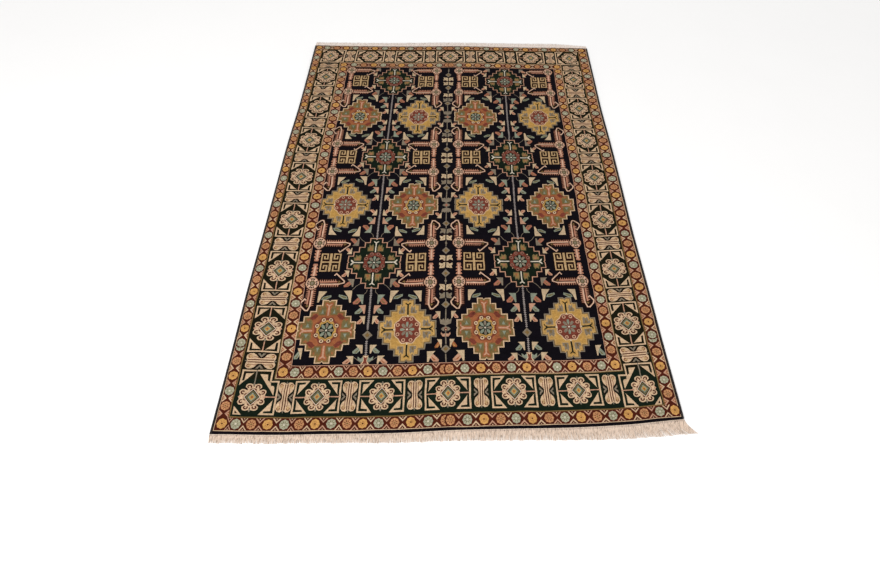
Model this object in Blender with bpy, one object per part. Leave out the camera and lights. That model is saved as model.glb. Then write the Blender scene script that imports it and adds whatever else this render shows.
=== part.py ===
"""A knotted wool rug lying flat: pile carpet, two overcast side edges and two fringed ends.

Metres, +Z up. The rug's width runs along X and its length along Y. The origin is at the
middle of the underside of everything, fringe included. The near end is at -Y.
"""

import random

import bmesh
import bpy
from mathutils import Matrix, Vector, noise

# Driving sizes.
RUG_WIDTH = 2.00
RUG_LENGTH = 3.00
THICKNESS = 0.011
FOUNDATION = 0.003
GAP = 0.0003

# Unevenness of the four edges, outwards from the nominal rectangle. The stations are
# evenly spaced: left to right for the two ends, near to far for the two sides.
NEAR_EDGE = [0.000, 0.012, 0.017, 0.022, 0.018, 0.021, 0.025, 0.020, 0.004]
FAR_EDGE = [0.000, -0.006, -0.006, -0.002, 0.008, 0.004, -0.002, 0.000, -0.004]
LEFT_EDGE = [0.004, 0.005, 0.010, 0.008, 0.008, 0.008, 0.000, -0.001, 0.000]
RIGHT_EDGE = [0.000, -0.006, -0.009, -0.013, -0.010, -0.009, -0.012, -0.007, -0.003]

# How the pile rounds over at its rim: distance in from the edge, height.
RIM_PROFILE = [(0.0, FOUNDATION), (0.0006, 0.0075), (0.0025, 0.0100), (0.006, THICKNESS)]
# The edges are straight from one of these cells to the next, so that all pieces meet alike.
CELLS_ACROSS = 20
CELLS_ALONG = 30
RIPPLE_HEIGHT = 0.0012
RIPPLE_LENGTH = 0.45

# Overcast side edges: a bar wound round the outer warps, flat where it lies.
SELVAGE_WIDTH = 0.010
SELVAGE_HEIGHT = 0.0095
SELVAGE_FOOT = 0.0055

# Fringes: an end band with locks of warp ends.
LOCKS = 144
BAND_WIDTH = 0.007
BAND_HEIGHT = 0.0035
LOCK_SHARE = 0.62
LOCK_RINGS = [  # share of the length, width, height
    (0.45, 1.10, 0.90),
    (1.00, 0.60, 0.45),
]
LENGTH_SPREAD = 0.0045
SWAY = 0.005
# Length of the locks, and how far their tips lean to the right, at even stations.
NEAR_LENGTH = [0.040, 0.040, 0.041, 0.045, 0.050, 0.054, 0.058, 0.066, 0.070]
NEAR_LEAN = [0.006, 0.002, -0.003, 0.004, 0.002, -0.002, 0.006, 0.014, 0.050]
FAR_LENGTH = [0.056, 0.062, 0.064, 0.068, 0.066, 0.068, 0.070, 0.068, 0.044]
FAR_LEAN = [0.004, -0.004, 0.003, 0.006, -0.003, 0.002, -0.005, 0.004, -0.004]


def clear_scene():
    for item in list(bpy.data.objects):
        bpy.data.objects.remove(item, do_unlink=True)


def material(name, colour, roughness):
    made = bpy.data.materials.new(name)
    made.use_nodes = True
    shader = made.node_tree.nodes["Principled BSDF"]
    shader.inputs["Base Color"].default_value = (*colour, 1.0)
    shader.inputs["Roughness"].default_value = roughness
    shader.inputs["Metallic"].default_value = 0.0
    return made


def along(table, share):
    """The table's value at a share of the way along its even stations, on a smooth curve."""
    place = min(max(share, 0.0), 1.0) * (len(table) - 1)
    start = min(int(place), len(table) - 2)
    part = place - start
    before = table[max(start - 1, 0)]
    low = table[start]
    high = table[start + 1]
    after = table[min(start + 2, len(table) - 1)]
    slope_low = (high - before) / 2
    slope_high = (after - low) / 2
    return (
        low * (1 + 2 * part) * (1 - part) ** 2
        + slope_low * part * (1 - part) ** 2
        + high * part**2 * (3 - 2 * part)
        - slope_high * part**2 * (1 - part)
    )


def edge(table, share, cells):
    """The same curve, made straight from one cell's end to the next."""
    cell = min(max(int(share * cells), 0), cells - 1)
    part = share * cells - cell
    return along(table, cell / cells) * (1 - part) + along(table, (cell + 1) / cells) * part


def lie(across, length):
    """Where a point of the true rectangle comes to lie. Both are counted from the near left corner."""
    share_x = across / RUG_WIDTH
    share_y = length / RUG_LENGTH
    left = edge(LEFT_EDGE, share_y, CELLS_ALONG)
    right = edge(RIGHT_EDGE, share_y, CELLS_ALONG)
    near = edge(NEAR_EDGE, share_x, CELLS_ACROSS)
    far = edge(FAR_EDGE, share_x, CELLS_ACROSS)
    return (
        across - RUG_WIDTH / 2 - left * (1 - share_x) + right * share_x,
        length - RUG_LENGTH / 2 - near * (1 - share_y) + far * share_y,
    )


def ripple(x, y):
    return RIPPLE_HEIGHT * noise.noise(Vector((x / RIPPLE_LENGTH, y / RIPPLE_LENGTH, 0.0)))


def rim_height(inwards):
    """Height of the pile at a distance in from the carpet's edge."""
    for (near_in, near_up), (far_in, far_up) in zip(RIM_PROFILE, RIM_PROFILE[1:]):
        if inwards <= far_in:
            return near_up + (far_up - near_up) * max(inwards - near_in, 0) / (far_in - near_in)
    return THICKNESS


def finish_object(name, mesh_data, look):
    mesh = bpy.data.meshes.new(name)
    bmesh.ops.recalc_face_normals(mesh_data, faces=mesh_data.faces)
    mesh_data.to_mesh(mesh)
    mesh_data.free()
    mesh.materials.append(look)
    made = bpy.data.objects.new(name, mesh)
    bpy.context.scene.collection.objects.link(made)
    return made


def grid_lines(size, margin, cells):
    """Lines over the carpet: close together on its rounded rims, then at the ends of the cells."""
    rim = [margin + inwards for inwards, _ in RIM_PROFILE]
    middle = [size * step / cells for step in range(1, cells)]
    return rim + middle + [size - line for line in reversed(rim)]


def make_carpet(look):
    margin = SELVAGE_WIDTH + GAP
    lines_x = grid_lines(RUG_WIDTH, margin, CELLS_ACROSS)
    lines_y = grid_lines(RUG_LENGTH, 0.0, CELLS_ALONG)
    last_x = len(lines_x) - 1
    last_y = len(lines_y) - 1
    made = bmesh.new()
    top = {}
    foot = {}
    for column, across in enumerate(lines_x):
        for row, length in enumerate(lines_y):
            x, y = lie(across, length)
            from_side = min(across, RUG_WIDTH - across) - margin
            inwards = min(from_side, length, RUG_LENGTH - length)
            height = rim_height(inwards) + ripple(x, y) * min(inwards / RIM_PROFILE[-1][0], 1.0)
            top[column, row] = made.verts.new((x, y, height))
            if column in (0, last_x) or row in (0, last_y):
                foot[column, row] = made.verts.new((x, y, 0.0))
    for column in range(last_x):
        for row in range(last_y):
            beside = column + 1
            beyond = row + 1
            corners = (top[column, row], top[beside, row], top[beside, beyond], top[column, beyond])
            made.faces.new(corners)
    rim = [(column, 0) for column in range(last_x)]
    rim += [(last_x, row) for row in range(last_y)]
    rim += [(column, last_y) for column in range(last_x, 0, -1)]
    rim += [(0, row) for row in range(last_y, 0, -1)]
    for here, there in zip(rim, rim[1:] + rim[:1]):
        made.faces.new((foot[here], foot[there], top[there], top[here]))
    made.faces.new([foot[here] for here in reversed(rim)])
    return finish_object("carpet", made, look)


def make_selvage(name, centre_across, look):
    half = SELVAGE_WIDTH / 2
    foot = SELVAGE_FOOT / 2
    low = SELVAGE_HEIGHT * 0.3
    high = SELVAGE_HEIGHT * 0.7
    section = [
        (-foot, 0.0),
        (foot, 0.0),
        (half, low),
        (half, high),
        (foot, SELVAGE_HEIGHT),
        (-foot, SELVAGE_HEIGHT),
        (-half, high),
        (-half, low),
    ]
    made = bmesh.new()
    rings = []
    for step in range(CELLS_ALONG + 1):
        length = RUG_LENGTH * step / CELLS_ALONG
        rings.append([made.verts.new((*lie(centre_across + side, length), up)) for side, up in section])
    for ring, following in zip(rings, rings[1:]):
        for corner in range(len(section)):
            beside = (corner + 1) % len(section)
            made.faces.new((ring[corner], ring[beside], following[beside], following[corner]))
    made.faces.new(rings[0])
    made.faces.new(list(reversed(rings[-1])))
    return finish_object(name, made, look)


def make_fringe(name, end, lengths, leans, seed, look):
    """The end band, with a lock drawn out of every second piece of its outer face. end is -1 or 1."""
    rng = random.Random(seed)
    made = bmesh.new()
    pitch = RUG_WIDTH / LOCKS
    gap_half = pitch * (1 - LOCK_SHARE) / 2
    stations = [0.0]
    for lock in range(LOCKS):
        stations += [lock * pitch + gap_half, (lock + 1) * pitch - gap_half]
    stations.append(RUG_WIDTH)
    woven_end = RUG_LENGTH if end > 0 else 0.0
    sections = []
    for across in stations:
        x, y = lie(across, woven_end)
        inner = y + end * GAP
        outer = y + end * BAND_WIDTH
        corners = [(inner, 0.0), (inner, BAND_HEIGHT), (outer, BAND_HEIGHT), (outer, 0.0)]
        sections.append([made.verts.new((x, depth, up)) for depth, up in corners])
    for index, (one, two) in enumerate(zip(sections, sections[1:])):
        made.faces.new((one[0], one[1], two[1], two[0]))
        made.faces.new((one[1], one[2], two[2], two[1]))
        made.faces.new((one[3], one[0], two[0], two[3]))
        if index % 2 == 0:
            made.faces.new((one[2], one[3], two[3], two[2]))
            continue
        share = (stations[index] + stations[index + 1]) / 2 / RUG_WIDTH
        reach = along(lengths, share) + rng.uniform(-LENGTH_SPREAD, LENGTH_SPREAD)
        lean = along(leans, share) + SWAY * noise.noise(Vector((share * 21, end, seed)))
        draw_lock(made, (one[3], one[2], two[2], two[3]), end * reach, lean)
    made.faces.new(sections[0])
    made.faces.new(list(reversed(sections[-1])))
    return finish_object(name, made, look)


def draw_lock(made, root, reach, lean):
    """Draws a lock out of a face of the band, level underneath. root is that face: left side up, right side down."""
    ring = list(root)
    start = (root[0].co + root[3].co) / 2
    half = (root[3].co.x - root[0].co.x) / 2
    for share, wide, high in LOCK_RINGS:
        x = start.x + lean * share**1.5
        y = start.y + reach * share
        up = BAND_HEIGHT * high
        corners = [(-half * wide, 0.0), (-half * wide, up), (half * wide, up), (half * wide, 0.0)]
        following = [made.verts.new((x + side, y, height)) for side, height in corners]
        for corner in range(4):
            beside = (corner + 1) % 4
            made.faces.new((ring[corner], ring[beside], following[beside], following[corner]))
        ring = following
    made.faces.new(ring)


def recentre(pieces):
    """Moves every piece so that the origin is at the middle of the whole rug's footprint."""
    points = [vertex.co for piece in pieces for vertex in piece.data.vertices]
    shift = Vector((0.0, 0.0, 0.0))
    for axis in (0, 1):
        values = [point[axis] for point in points]
        shift[axis] = -(min(values) + max(values)) / 2
    for piece in pieces:
        piece.data.transform(Matrix.Translation(shift))


def main():
    clear_scene()
    wool = material("knotted wool pile", (0.035, 0.022, 0.030), 0.95)
    binding = material("overcast wool", (0.012, 0.010, 0.020), 0.90)
    cotton = material("cotton warp", (0.70, 0.55, 0.43), 0.90)
    side = SELVAGE_WIDTH / 2
    recentre(
        [
            make_carpet(wool),
            make_selvage("selvage_left", side, binding),
            make_selvage("selvage_right", RUG_WIDTH - side, binding),
            make_fringe("fringe_near", -1, NEAR_LENGTH, NEAR_LEAN, 11, cotton),
            make_fringe("fringe_far", 1, FAR_LENGTH, FAR_LEAN, 12, cotton),
        ]
    )


main()
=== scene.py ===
import math
import random

import bpy
import numpy as np
from mathutils import Matrix, Vector, noise
from mathutils.geometry import delaunay_2d_cdt


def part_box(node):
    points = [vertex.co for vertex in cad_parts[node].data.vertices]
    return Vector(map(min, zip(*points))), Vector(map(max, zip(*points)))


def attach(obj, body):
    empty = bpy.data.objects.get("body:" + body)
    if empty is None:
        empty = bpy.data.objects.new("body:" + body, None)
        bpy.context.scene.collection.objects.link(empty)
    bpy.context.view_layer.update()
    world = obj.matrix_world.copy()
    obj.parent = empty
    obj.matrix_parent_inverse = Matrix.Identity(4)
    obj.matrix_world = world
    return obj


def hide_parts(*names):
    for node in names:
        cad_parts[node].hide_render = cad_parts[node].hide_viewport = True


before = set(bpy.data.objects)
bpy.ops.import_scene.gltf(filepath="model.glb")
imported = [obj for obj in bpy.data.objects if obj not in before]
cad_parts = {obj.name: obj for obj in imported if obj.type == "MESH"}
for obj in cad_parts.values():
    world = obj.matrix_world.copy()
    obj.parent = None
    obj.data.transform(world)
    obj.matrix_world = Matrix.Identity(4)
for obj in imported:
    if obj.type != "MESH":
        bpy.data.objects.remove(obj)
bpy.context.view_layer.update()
noise.seed_set(7)  # noise_vector starts from the clock if it has no seed
print("frame loaded:", ", ".join(sorted(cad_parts)))

# All lengths are in millimetres on the rug's own loom grid until lie() and toMetres() lay them down.
# s runs across from the left edge and t along from the near end.
rug = {
    "width": 2000.0,
    "length": 3000.0,
    "pileMargin": 10.3,  # the pile starts beside the overcast edge
    "rim": [(0.0, 3.0), (0.6, 7.0), (2.5, 9.8), (6.0, 11.0)],  # inwards, height
    "underside": 0.25,  # the lowest that anything woven lies
    "rippleHeight": 1.2,
    "rippleLength": 450.0,
    # how far each edge wanders outwards from the true rectangle, at even stations
    "near": [0, 12, 17, 22, 18, 21, 25, 20, 4],
    "far": [0, -6, -6, -2, 8, 4, -2, 0, -4],
    "left": [4, 5, 10, 8, 8, 8, 0, -1, 0],
    "right": [0, -6, -9, -13, -10, -9, -12, -7, -3],
    # hand-made unevenness of the drawing, broad and fine, and of the pile's height: size, then wave lengths
    "handWander": (2.6, 95.0, 70.0),
    "knotWander": (1.3, 13.0, 11.0),
    "pileUneven": (0.35, 30.0, 24.0),
    "closest": 0.05,  # nearer corners of a shape are one
    "lattice": 40.0,  # spacing of the points between the drawing's own
    "longestEdge": 34.0,  # longer edges of the drawing are parted, and those of the rim
    "longestRim": 25.0,
}


def along(table, share):  # a smooth curve through evenly spaced values
    place = min(max(share, 0.0), 1.0) * (len(table) - 1)
    start = min(int(place), len(table) - 2)
    part = place - start
    before = table[max(start - 1, 0)]
    low = table[start]
    high = table[start + 1]
    after = table[min(start + 2, len(table) - 1)]
    value = low * (1 + 2 * part) * (1 - part) ** 2
    value += (high - before) / 2 * part * (1 - part) ** 2
    value += high * part**2 * (3 - 2 * part)
    return value - (after - low) / 2 * part**2 * (1 - part)


def lie(s, t):  # where a point of the true rectangle comes to lie
    u = s / rug["width"]
    v = t / rug["length"]
    x = s - along(rug["left"], v) * (1 - u) + along(rug["right"], v) * u
    y = t - along(rug["near"], u) * (1 - v) + along(rug["far"], u) * v
    return x, y


# how the weaving drifted from a true grid, in mm to the right and away, by stations across and along
drift = {
    "across": [0, 67, 144, 290, 600, 970, 1360, 1720, 1850, 1930, 2000],
    "along": [0, 168, 500, 925, 1350, 1760, 2160, 2550, 2740, 2856, 3000],
    "right": [
        [0, 1, 2, 3, 2, 0, -1, -1, -1, 0, 0],
        [0, -1, 0, 4, 2, 0, -2, -3, -2, -2, 0],
        [0, -3, -4, 3, 0, 1, -1, -4, -4, -5, 0],
        [0, -6, -8, -2, -1, 2, 0, -5, -5, -8, 0],
        [0, -8, -11, -2, 1, 1, -1, -3, -5, -9, 0],
        [0, -10, -15, -11, -2, 0, 2, -2, -4, -9, 0],
        [0, -11, -17, -9, -4, -1, 1, 0, -3, -9, 0],
        [0, -10, -15, -13, -6, 0, 4, 0, -3, -8, 0],
        [0, -9, -14, -14, -12, 1, 9, 1, -2, -7, 0],
        [0, -7, -11, -12, -9, 0, 5, 2, 0, -5, 0],
        [0, -4, -6, -7, -5, 0, 1, 3, 2, 0, 0],
    ],
    "away": [
        [0, 0, 0, 0, 0, 0, 0, 0, 0, 0, 0],
        [1, 0, -1, -3, -3, -2, 1, -2, -2, -2, -2],
        [2, 1, 0, -1, 1, -3, -3, -2, -4, -5, -4],
        [3, 3, 4, 4, 1, -2, -5, -11, -9, -8, -6],
        [4, 4, 4, 5, -2, -7, -15, -12, -12, -10, -8],
        [5, 4, 2, -1, 0, -14, -12, -15, -12, -10, -8],
        [5, 5, 3, -1, -8, -12, -19, -12, -9, -8, -7],
        [4, 5, 7, 9, 7, -5, -6, -5, -5, -5, -5],
        [3, 5, 6, 7, 5, 0, 2, -4, -4, -4, -4],
        [2, 3, 4, 5, 6, 2, 2, -1, -2, -2, -2],
        [0, 0, 0, 0, 0, 0, 0, 0, 0, 0, 0],
    ],
}


def between(stations, value):
    k = 0
    while k < len(stations) - 2 and value > stations[k + 1]:
        k += 1
    return k, min(max((value - stations[k]) / (stations[k + 1] - stations[k]), 0.0), 1.0)


def woven(s, t):  # where a point of the drawing comes to lie
    i, u = between(drift["across"], s)
    j, v = between(drift["along"], t)
    x, y = lie(s, t)
    moves = []
    for table in (drift["right"], drift["away"]):
        low = table[j][i] * (1 - u) + table[j][i + 1] * u
        high = table[j + 1][i] * (1 - u) + table[j + 1][i + 1] * u
        moves.append(low * (1 - v) + high * v)
    return x + moves[0], y + moves[1]


def findShift():  # puts the middle of the pile's outline where the solid's is
    steps = [i / 60 for i in range(61)]
    margin = rug["pileMargin"]
    span = rug["width"] - 2 * margin
    rim = [lie(margin + span * k, t) for k in steps for t in (0, rug["length"])]
    rim += [lie(s, rug["length"] * k) for k in steps for s in (margin, rug["width"] - margin)]
    low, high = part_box("carpet")
    shift = []
    for axis in (0, 1):
        values = [point[axis] for point in rim]
        shift.append((low[axis] + high[axis]) / 2 - (min(values) + max(values)) / 2000)
    return shift


shiftX, shiftY = findShift()


def toMetres(x, y, z):
    return Vector((x / 1000 + shiftX, y / 1000 + shiftY, z / 1000))


def ripple(x, y):
    wave = rug["rippleLength"]
    place = Vector(((x - rug["width"] / 2) / wave, (y - rug["length"] / 2) / wave, 0.0))
    return rug["rippleHeight"] * noise.noise(place)


# camera: stands at the near end, a little left of the middle, and looks down at 52 degrees
camera = {
    "place": (65.9, -2557.2, 2300.0),  # from the middle of the true rectangle
    "right": (0.99754, -0.05568, 0.04266),
    "forward": (0.06774, 0.60665, -0.79208),
    "lens": 23.69,
    "shiftX": -0.0753,
}


def makeCamera():
    data = bpy.data.cameras.new("camera")
    data.lens = camera["lens"]
    data.sensor_width = 36.0
    data.shift_x = camera["shiftX"]
    data.clip_start = 0.05
    data.clip_end = 100.0
    made = bpy.data.objects.new("camera", data)
    x, y, z = camera["place"]
    place = toMetres(x + rug["width"] / 2, y + rug["length"] / 2, z)
    right = Vector(camera["right"]).normalized()
    back = -Vector(camera["forward"])
    back = (back - right * back.dot(right)).normalized()
    up = back.cross(right)
    turned = Matrix((right, up, back)).transposed().to_4x4()
    made.matrix_world = Matrix.Translation(place) @ turned
    bpy.context.scene.collection.objects.link(made)
    bpy.context.scene.camera = made


makeCamera()
print("camera set")


# materials: one small function adds a node with its settings and links
def linear(code):
    parts = [int(code[i:i + 2], 16) / 255 for i in (1, 3, 5)]
    return tuple(p / 12.92 if p <= 0.04045 else ((p + 0.055) / 1.055) ** 2.4 for p in parts) + (1.0,)


def addNode(tree, kind, settings=None, links=None):
    node = tree.nodes.new(kind)
    for name, value in (settings or {}).items():
        if name == "stops":
            for stop, (position, code) in zip(node.color_ramp.elements, value):
                stop.position = position
                stop.color = linear(code)
        elif isinstance(name, str) and hasattr(node, name):
            setattr(node, name, value)
        else:
            node.inputs[name].default_value = value
    for name, source in (links or {}).items():
        tree.links.new(source, node.inputs[name])
    return node


def startMaterial(name):
    made = bpy.data.materials.new(name)
    made.use_nodes = True
    place = addNode(made.node_tree, "ShaderNodeTexCoord").outputs["Object"]
    return made, made.node_tree, place


def finishMaterial(made, look, colour, height=None):  # relief in mm; what is even all over is in "shader"
    tree = made.node_tree
    shader = tree.nodes["Principled BSDF"]
    tree.links.new(colour, shader.inputs["Base Color"])
    if height is not None:
        bump = addNode(tree, "ShaderNodeBump", {"Strength": look["bump"], "Distance": look["relief"] / 1000},
                       {"Height": height})
        tree.links.new(bump.outputs[0], shader.inputs["Normal"])
    for name, value in look["shader"].items():
        shader.inputs[name].default_value = value
    return made


woolLook = {
    "knotAcross": 3.0,  # mm; real knots are about 2.2 mm, drawn coarser so that they show
    "knotAlong": 3.2,
    "knotSpread": 0.16,  # how much one knot's tone differs from the next
    "abrash": 0.10,  # bands across the width, where a new dye lot starts
    "bands": (0.6, 16.0, 1.0),  # waves to the metre across and along
    "wear": {"Scale": 60.0, "Detail": 4.0, "Roughness": 0.8},  # trodden spots of about 17 mm
    "wearTone": (0.76, 1.22),
    "fuzz": {"Scale": 420.0, "Detail": 2.0},  # single yarns, 2.4 mm
    "bump": 0.55,
    "relief": 1.2,
    "shader": {"Roughness": 0.94, "Specular IOR Level": 0.03, "Sheen Weight": 0.02, "Sheen Roughness": 0.6},
}


def knottedWool(name, code):
    # hand-knotted dyed wool, cut to a short pile: matt, each knot its own tone, faint bands across
    made, tree, place = startMaterial(name)
    base = linear(code)
    # each knot is one cell of a grid, and each cell gets its own tone
    cell = addNode(tree, "ShaderNodeVectorMath", {"operation": "SNAP"}, {0: place})
    cell.inputs[1].default_value = (woolLook["knotAcross"] / 1000, woolLook["knotAlong"] / 1000, 1.0)
    knot = addNode(tree, "ShaderNodeTexWhiteNoise", {"noise_dimensions": "3D"}, {"Vector": cell.outputs[0]})
    stretched = addNode(tree, "ShaderNodeMapping", {"Scale": woolLook["bands"]}, {"Vector": place})
    bands = addNode(tree, "ShaderNodeTexNoise", {"Scale": 1.0, "Detail": 3.0, "Roughness": 0.6},
                    {"Vector": stretched.outputs[0]})
    wear = addNode(tree, "ShaderNodeTexNoise", woolLook["wear"], {"Vector": place})
    tone = None
    for source, start, end, low, high in (
            (knot.outputs["Value"], 0.0, 1.0, 1 - woolLook["knotSpread"], 1 + woolLook["knotSpread"]),
            (bands.outputs["Fac"], 0.3, 0.7, 1 - woolLook["abrash"], 1 + woolLook["abrash"]),
            (wear.outputs["Fac"], 0.3, 0.7, *woolLook["wearTone"])):
        part = addNode(tree, "ShaderNodeMapRange", {"From Min": start, "From Max": end, "To Min": low,
                       "To Max": high}, {"Value": source}).outputs[0]
        if tone is None:
            tone = part
        else:
            tone = addNode(tree, "ShaderNodeMath", {"operation": "MULTIPLY"}, {0: tone, 1: part}).outputs[0]
    dyed = addNode(tree, "ShaderNodeVectorMath", {"operation": "SCALE", 0: base[:3]}, {"Scale": tone})
    # the tips of the cut yarn stand a little unevenly, knot by knot, with a fine fuzz over them
    fuzz = addNode(tree, "ShaderNodeTexNoise", woolLook["fuzz"], {"Vector": place})
    height = addNode(tree, "ShaderNodeMath", {"operation": "ADD"},
                     {0: knot.outputs["Value"], 1: fuzz.outputs["Fac"]})
    tree.nodes["Principled BSDF"].inputs["Sheen Tint"].default_value = base
    return finishMaterial(made, woolLook, dyed.outputs[0], height.outputs[0])


yarns = {  # dyed wool by its colour
    "navy": "#0e0b10",
    "green": "#17160c",
    "bottle": "#121b12",
    "teal": "#7c8170",
    "ivory": "#c0a282",
    "pink": "#b0856c",
    "rust": "#8d5435",
    "red": "#6c362a",
    "maroon": "#471d12",
    "gold": "#aa8346",
    "olive": "#725a36",
    "grey": "#786c5c",
    "white": "#c2b7a4",
    "brown": "#1f0e0a",
    "straw": "#b08c56",
    "moss": "#655b3c",
    "rose": "#97604c",
    "sand": "#ac8e66",
    "celadon": "#9c9880",
    "honey": "#bd8d50",
    "copper": "#b07d56",
    "salmon": "#a8765f",
    "blush": "#c5a289",
    "lilac": "#837974",
    "parchment": "#b59d7e",
    "umber": "#84673f",
    "mauve": "#80594b",
}


# drawing: a painter's list of (yarn, corners), later ones on top
def boxPoints(x0, y0, x1, y1):
    return [(x0, y0), (x1, y0), (x1, y1), (x0, y1)]


def scaled(points, sx, sy):
    return [(x * sx, y * sy) for x, y in points]


def fromRight(points):  # a whole outline from its right half
    return points + [(-x, y) for x, y in reversed(points) if x]


def fromTop(points):  # a whole outline from its upper half
    return points + [(x, -y) for x, y in reversed(points) if y]


def oval(cx, cy, rx, ry, count=10):
    angles = [2 * math.pi * (i + 0.5) / count for i in range(count)]
    return [(cx + rx * math.cos(angle), cy + ry * math.sin(angle)) for angle in angles]


def lobed(cx, cy, rx, ry, lobes=8, depth=0.08, turn=0.5, each=5):
    points = []
    for i in range(lobes * each):
        angle = 2 * math.pi * i / (lobes * each)
        reach = 1 - depth + depth * math.cos(lobes * angle - 2 * math.pi * turn)
        points.append((cx + rx * reach * math.cos(angle), cy + ry * reach * math.sin(angle)))
    return points


def spoke(points, angle, rx, ry):  # points are (out from the middle, beside), in an oval of rx by ry
    c = math.cos(angle)
    s = math.sin(angle)
    return [(rx * (u * c - v * s), ry * (u * s + v * c)) for u, v in points]


def eight(arms, start, rx, ry):  # eight spokes; arms are (yarn, points) and take turns
    out = []
    for i in range(8):
        yarn, points = arms[i % len(arms)]
        out.append((yarn, spoke(points, math.pi * (i + start) / 4, rx, ry)))
    return out


def lozenge(yarn, x, y, rx, ry):
    return [(yarn, [(x - rx, y), (x, y - ry), (x + rx, y), (x, y + ry)])]


def line(points, width):  # a line of one width with mitred bends
    left = []
    right = []
    last = len(points) - 1
    for i, (x, y) in enumerate(points):
        ax, ay = points[max(i - 1, 0)]
        bx, by = points[min(i + 1, last)]
        one = (x - ax, y - ay) if i > 0 else (bx - x, by - y)
        two = (bx - x, by - y) if i < last else one
        oneLong = math.hypot(*one) or 1
        twoLong = math.hypot(*two) or 1
        mx = -one[1] / oneLong - two[1] / twoLong
        my = one[0] / oneLong + two[0] / twoLong
        k = width / max(mx**2 + my**2, 0.5)
        left.append((x + mx * k, y + my * k))
        right.append((x - mx * k, y - my * k))
    return left + right[::-1]


def moved(motif, x, y, turn=0, sx=1.0, sy=1.0):
    c, s = [(1, 0), (0, 1), (-1, 0), (0, -1)][turn % 4]
    return [
        (yarn, [(x + c * sx * px - s * sy * py, y + s * sx * px + c * sy * py) for px, py in points])
        for yarn, points in motif
    ]


def pair(motif):  # mirrored left and right
    return motif + moved(motif, 0, 0, sx=-1)


def upDown(motif):
    return motif + moved(motif, 0, 0, sy=-1)


def four(motif):
    return upDown(pair(motif))


# motifs: each is a list of (yarn, corners) round its own middle
rosetteYarns = {  # petals, rays, heart, then the half width and reach of a ray
    "gold": ("honey", "rust", "maroon", 0.06, 0.62),
    "teal": ("celadon", "moss", "white", 0.08, 0.84),
    "rust": ("copper", "maroon", "olive", 0.08, 0.84),
}


def guardRosette(kind, rx, ry):
    petals, rays, heart, wide, reach = rosetteYarns[kind]
    hexagon = fromTop([(1.0, 0.42), (0.62, 0.98), (-0.62, 0.98), (-1.0, 0.42)])
    out = [("maroon", scaled(hexagon, rx * 1.14, ry * 1.08))]
    out.append((petals, lobed(0, 0, rx * 0.95, ry * 0.95, depth=0.06, each=3, turn=0.0)))
    out += eight([(rays, [(0.30, wide), (reach, 0), (0.30, -wide)])], 0.5, rx, ry)
    out.append((heart, oval(0, 0, rx * 0.19, ry * 0.17, 6)))
    return out


def chevron(half, height, yarn, inner):  # stands on the edge of a guard stripe and points inwards
    arm = half * 0.34
    return [
        (yarn, [(-half, 0), (half, 0), (0, height)]),
        (inner, [(-half + arm, 0), (half - arm, 0), (0, height - arm * 1.4)]),
        ("ivory", [(-3.2, 0.8), (3.2, 0.8), (0, 7)]),
    ]


def guardRun(spots, low, high, turn, rx, ry):  # spots are (place, kind, stretch) along the stripe
    middle = (low + high) / 2
    half = (high - low) / 2
    inner = "rust" if turn else "maroon"
    chevrons = []
    rosettes = []

    def put(motif, place):
        return moved(motif, *((middle, place) if turn else (place, middle)), turn=turn)

    for i, (place, kind, stretch) in enumerate(spots):
        if i + 1 < len(spots):
            following, nextStretch = spots[i + 1][::2]
            gap = following - place - rx * (stretch + nextStretch)
            centre = (place + rx * stretch + following - rx * nextStretch) / 2
            v = chevron(min(gap * 0.5 + 6.5, 19), half * 0.78, ("pink", "ivory")[i % 2], inner)
            chevrons += put(moved(v, 0, -half + 1.5) + moved(v, 0, half - 1.5, sy=-1), centre)
        if kind == "corner":  # the stripe across the end has the corner's rosette
            continue
        for side in (-1, 1) if stretch > 1 else (0,):  # two rosettes run together, or one
            rosettes += put(guardRosette(kind, rx, ry), place + side * rx * (stretch - 1))
    return chevrons + rosettes


# where the guard rosettes lie: those on the two ends are mirrored in kind about a double one
guards = {
    "nearOuter": [42, 98, 161, 228, 294, 355, 421, 489, 554, 620, 685, 751, 821, 893, 977, 1061, 1132, 1203,
                  1269, 1340, 1412, 1481, 1550, 1620, 1689, 1758, 1830, 1898, 1965],
    "nearInner": [247, 297, 359, 425, 491, 556, 622, 688, 752, 819, 888, 972, 1055, 1128, 1200, 1268, 1338,
                  1409, 1478, 1547, 1617, 1684, 1748],
    "farInner": [248, 318, 385, 455, 521, 584, 646, 708, 770, 836, 903, 972, 1041, 1105, 1170, 1239, 1311,
                 1384, 1456, 1528, 1598, 1665, 1744],
    "farOuter": [39, 99, 168, 236, 302, 370, 441, 510, 575, 635, 695, 757, 825, 897, 965, 1032, 1100, 1171,
                 1242, 1314, 1388, 1459, 1530, 1601, 1670, 1739, 1807, 1874, 1950],
    "sideOuter": [125, 196, 269, 344, 430, 518, 590, 662, 737, 812, 883, 958, 1035, 1111, 1190, 1268, 1344,
                  1416, 1486, 1557, 1634, 1706, 1774, 1845, 1916, 1984, 2055, 2128, 2200, 2271, 2344, 2416,
                  2490, 2560, 2628, 2698, 2766, 2832, 2904],
    "sideInner": [372, 446, 524, 600, 668, 742, 819, 891, 965, 1041, 1115, 1189, 1266, 1341, 1413, 1487,
                  1558, 1634, 1710, 1780, 1850, 1918, 1985, 2057, 2131, 2202, 2274, 2346, 2415, 2488, 2558,
                  2624, 2688],
    "outerCorners": (50, 2965),
    "innerCorners": (291, 2745),
}


def endSpots(places):
    half = len(places) // 2
    kinds = ["gold"] + [("teal", "rust", "gold")[i % 3] for i in range(half - 1)]
    kinds += ["rust"] + kinds[::-1]
    return [(place, kind, 1.55 if i == half else 1.0) for i, (place, kind) in enumerate(zip(places, kinds))]


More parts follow.
